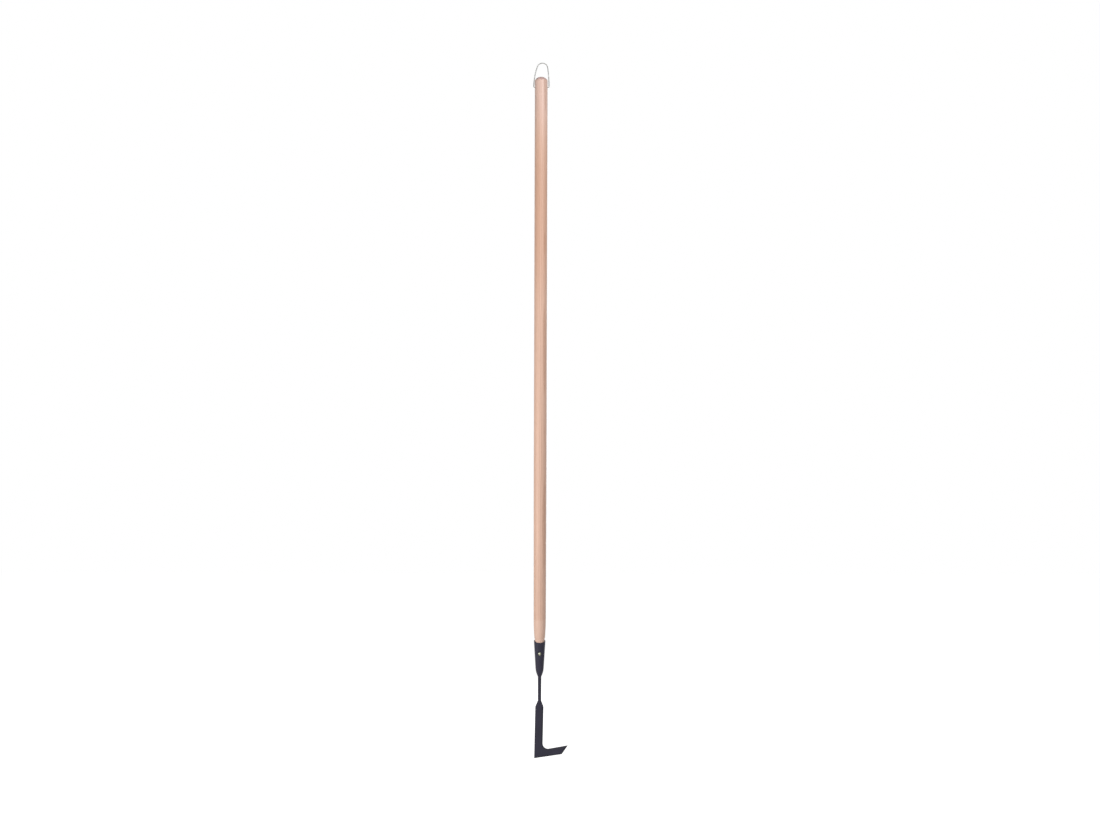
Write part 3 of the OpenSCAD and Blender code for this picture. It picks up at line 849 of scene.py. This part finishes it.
def screwProfile():
    s = screwSizes
    radius, height, shank = s["headRadius"], s["headHeight"], s["shankRadius"]
    sphere = (radius ** 2 + height ** 2) / (2 * height)
    middle = height - sphere
    turn = acos((s["rimRound"] - middle) / sphere)
    headTurns = [turn * i / 16 for i in range(17)]
    points = [(sphere * sin(a), 0.0, middle + sphere * cos(a)) for a in headTurns]
    # The rim rolls under to the flat seat, and the seat meets the shank in a small chamfer
    points += [(radius - 0.02, 0.0, s["rimRound"] * 0.45), (radius - 0.2, 0.0, 0.04)]
    points += [(radius - 0.4, 0.0, 0.0), (shank + 0.25, 0.0, 0.0), (shank, 0.0, -0.25)]
    points += [(shank, 0.0, 0.5 - s["plainLength"])]
    for i in range(s["threadSteps"] + 1):
        z = between(-s["plainLength"], -s["length"], i / s["threadSteps"])
        narrowing = min(1.0, (z + s["length"] + 0.1) / s["tipLength"])
        runOut = min(1.0, -s["plainLength"] - z)
        core = between(shank, s["coreRadius"], runOut) * narrowing
        points.append((max(core, 0.08), s["threadDepth"] * runOut * min(1.0, narrowing * 1.25), z))
    return points + [(0.0, 0.0, -s["length"])]


screwZinc = makeYellowZinc(screwZ)
screwMesh = carve(turnMesh("socketScrewBody", screwProfile(), screwSizes["sides"], screwZinc,
                           **screwSizes["thread"]), [crossCutter()])
turnInto(screwMesh, 90, "X", (0, -seatY, screwZ))
place("socketScrewBody", screwMesh, "socket_screw", "tool", "yellow_zinc", 32)

# Shank and the bead above it

shankSizes = {"segments": 48, "chamfer": 0.4}
chamfer = shankSizes["chamfer"]
shankProfile = [(0, shankTop), (shankRadius - chamfer, shankTop), (shankRadius, shankTop - chamfer)]
shankProfile += [(shankRadius, between(shankTop - chamfer, shankEnd + chamfer, i / 12)) for i in range(1, 13)]
shankProfile += [(shankRadius - chamfer, shankEnd), (0, shankEnd)]
place("shankBar", turnMesh("shankBar", shankProfile, shankSizes["segments"], coat),
      "shank", "tool", "coated_steel")

beadSizes = {
    "middle": 4.0, "out": 0.95, "up": 1.5, "drop": 0.65,
    "lean": 0.3,      # fuller against the nose than against the bar
    "rippleHeight": 0.16, "segments": 152, "steps": 24,
    "ripples": {"waves": 19.0, "pitch": 9.0, "sharpness": 0.7, "unevenness": 0.45, "seed": 3.0},
}
beadProfile = []
for i in range(beadSizes["steps"] + 1):
    a = 2 * pi * i / beadSizes["steps"]
    outside = max(0.0, cos(a))
    reach = beadSizes["out"] * cos(a) + beadSizes["lean"] * outside * sin(a)
    beadProfile.append((beadSizes["middle"] + reach, beadSizes["rippleHeight"] * outside,
                        noseEnd - beadSizes["drop"] + beadSizes["up"] * sin(a)))
beadMesh = turnMesh("socketWeldBead", beadProfile, beadSizes["segments"], coat, **beadSizes["ripples"])
place("socketWeldBead", beadMesh, "socket_weld", "tool", "coated_steel", 60)

# Blade

bladeSizes = {
    "plate": 3.0, "edge": 0.8, "legWidth": 19.4, "legLength": 136.2, "legLean": 1.1, "shoulder": 14.0,
    "reach": 79.0, "footHeight": 17.2, "footRise": 9.6, "upperRise": 11.2, "tipSlope": 56.5,
    "cornerRadius": 12.4, "arcSteps": 28,
    "bevel": 4.0, "soleBevel": 2.6, "shoulderBevel": 1.8,
    "softEdge": 0.2, "softSteps": 3, "softAngle": 38,   # only edges sharper than that are softened
}


def meet(p, d, q, e):  # where the line from p along d crosses the line from q along e
    return p + d * ((q - p).cross(e) / d.cross(e))


def bladeOutline():  # the corners, and the width of the bevel along the edge after each
    s = bladeSizes
    legX, corner = s["legWidth"] / 2, s["cornerRadius"]
    rise = tan(radians(s["upperRise"]))
    rootZ = -s["legLength"] + s["legWidth"] * tan(radians(s["footRise"])) + s["footHeight"]
    tip = Vector((s["reach"] - legX, rootZ + (s["reach"] - s["legWidth"]) * rise))
    heel = Vector((-legX, -s["legLength"]))
    soleEnd = meet(heel, along(s["footRise"]), tip, along(s["tipSlope"]))
    middle = Vector((legX + corner, rootZ + corner * rise + corner / cos(radians(s["upperRise"]))))
    arc = arcPoints(middle, corner, s["upperRise"] - 90, -180, s["arcSteps"])
    shoulders = [Vector(p) for p in ((legX, -s["shoulder"]), (shankRadius, 0), (-shankRadius, 0),
                                     (-legX, -s["shoulder"]))]
    widths = [s["soleBevel"]] + [s["bevel"]] * (2 + len(arc)) + [s["shoulderBevel"], 0, s["shoulderBevel"], 0]
    return [heel, soleEnd, tip] + arc + shoulders, widths


def insetOutline(points, widths):  # each edge moved in by its own width
    moved = []
    for i, point in enumerate(points):
        d = (point - points[i - 1]).normalized()
        e = (points[(i + 1) % len(points)] - point).normalized()
        moved.append(meet(point + Vector((-d.y, d.x)) * widths[i - 1], d,
                          point + Vector((-e.y, e.x)) * widths[i], e))
    return moved


def bladeMesh():
    outerPoints, widths = bladeOutline()
    innerPoints = insetOutline(outerPoints, widths)
    shape = bmesh.new()
    ground = shape.faces.layers.float.new("ground")
    rings = []
    plate, edge = bladeSizes["plate"] / 2, bladeSizes["edge"] / 2
    for points, y in ((innerPoints, -plate), (outerPoints, -edge), (outerPoints, edge), (innerPoints, plate)):
        rings.append([shape.verts.new((p.x * mm, y * mm, p.y * mm)) for p in points])
    for layer in range(3):
        near, further = rings[layer], rings[layer + 1]
        for i, width in enumerate(widths):
            after = (i + 1) % len(widths)
            face = shape.faces.new((near[i], near[after], further[after], further[i]))
            face[ground] = 1.0 if layer != 1 and width > 0 else 0.0
    shape.faces.new(rings[0])
    shape.faces.new(rings[3][::-1])
    # The grinder leaves a crisp line where each bevel starts
    for ring in (rings[0], rings[3]):
        for i, width in enumerate(widths):
            shape.edges.get((ring[i], ring[(i + 1) % len(widths)])).smooth = width == 0
    mesh = finishShape(shape, "bladePlate", coat)
    mesh.materials.append(coat)
    topZ = shankEnd - shankRadius * sin(radians(bladeSizes["legLean"]))
    return turnInto(mesh, bladeSizes["legLean"], "Y", (0, 0, topZ))


# The softened edges get the second material, which only marks them for the coat's edge attribute
bladeHost = makeObject("bladeHost", bladeMesh())
soften = bladeHost.modifiers.new("softEdges", "BEVEL")
soften.width, soften.segments = bladeSizes["softEdge"] * mm, bladeSizes["softSteps"]
soften.limit_method, soften.angle_limit = "ANGLE", radians(bladeSizes["softAngle"])
soften.material = 1
bladeHost.modifiers.new("flatFaces", "WEIGHTED_NORMAL").keep_sharp = True
plateMesh = plainMesh(bladeHost, "bladePlate")
edgeValues = plateMesh.attributes.new("edge", "FLOAT", "FACE")
edgeValues.data.foreach_set("value", [float(face.material_index) for face in plateMesh.polygons])
plateMesh.polygons.foreach_set("material_index", [0] * len(plateMesh.polygons))
plateMesh.materials.pop(index=1)
place("bladePlate", plateMesh, "blade", "tool", "coated_steel", None)

# Beads from the end of the bar down both faces of the blade

runOutSizes = {
    "above": 1.0, "length": 11.0, "startDiameter": 5.3, "endDiameter": 1.7,
    "middle": 1.2, "sink": 1.3,   # the middle of the bead and where it is cut flat, inside the plate
    "roundFrom": 0.88,            # from there on the bead's end is rounded
    "spacing": 1.3, "ripple": 0.10, "sides": 28, "steps": 60,
}


def runOutBead(front):
    s = runOutSizes
    shares = [i / s["steps"] for i in range(s["steps"] + 1)]
    start, run = shankEnd + s["above"], s["length"] + s["above"]
    path = [(0.0, front * s["middle"], start - run * share) for share in shares]
    swells = []
    for share in shares:
        past = max(0.0, (share - s["roundFrom"]) / (1 - s["roundFrom"]))
        roundEnd = sqrt(max(0.02, 1 - past ** 2))
        swells.append(between(1.0, s["endDiameter"] / s["startDiameter"], share) * roundEnd)
    mesh = growMesh(drawnTree, "runOut", path, {
        "Diameter": s["startDiameter"] * mm, "Sides": s["sides"], "Ripple Spacing": s["spacing"] * mm,
        "Ripple Depth": s["ripple"], "Finish": coat}, swells)
    shape = bmesh.new()
    shape.from_mesh(mesh)
    bpy.data.meshes.remove(mesh)
    cut = bmesh.ops.bisect_plane(
        shape, geom=shape.verts[:] + shape.edges[:] + shape.faces[:],
        plane_co=(0, front * s["sink"] * mm, 0), plane_no=(0, front, 0), clear_inner=True)
    rim = [item for item in cut["geom_cut"] if isinstance(item, bmesh.types.BMEdge)]
    bmesh.ops.edgeloop_fill(shape, edges=rim)
    return shape


beads = bmesh.new()
for front in (-1, 1):
    one = runOutBead(front)
    copies = {v: beads.verts.new(v.co) for v in one.verts}
    for face in one.faces:
        beads.faces.new([copies[v] for v in face.verts])
    one.free()
place("bladeWeldBeads", finishShape(beads, "bladeWeldBeads", coat), "blade_weld", "tool", "coated_steel", 60)
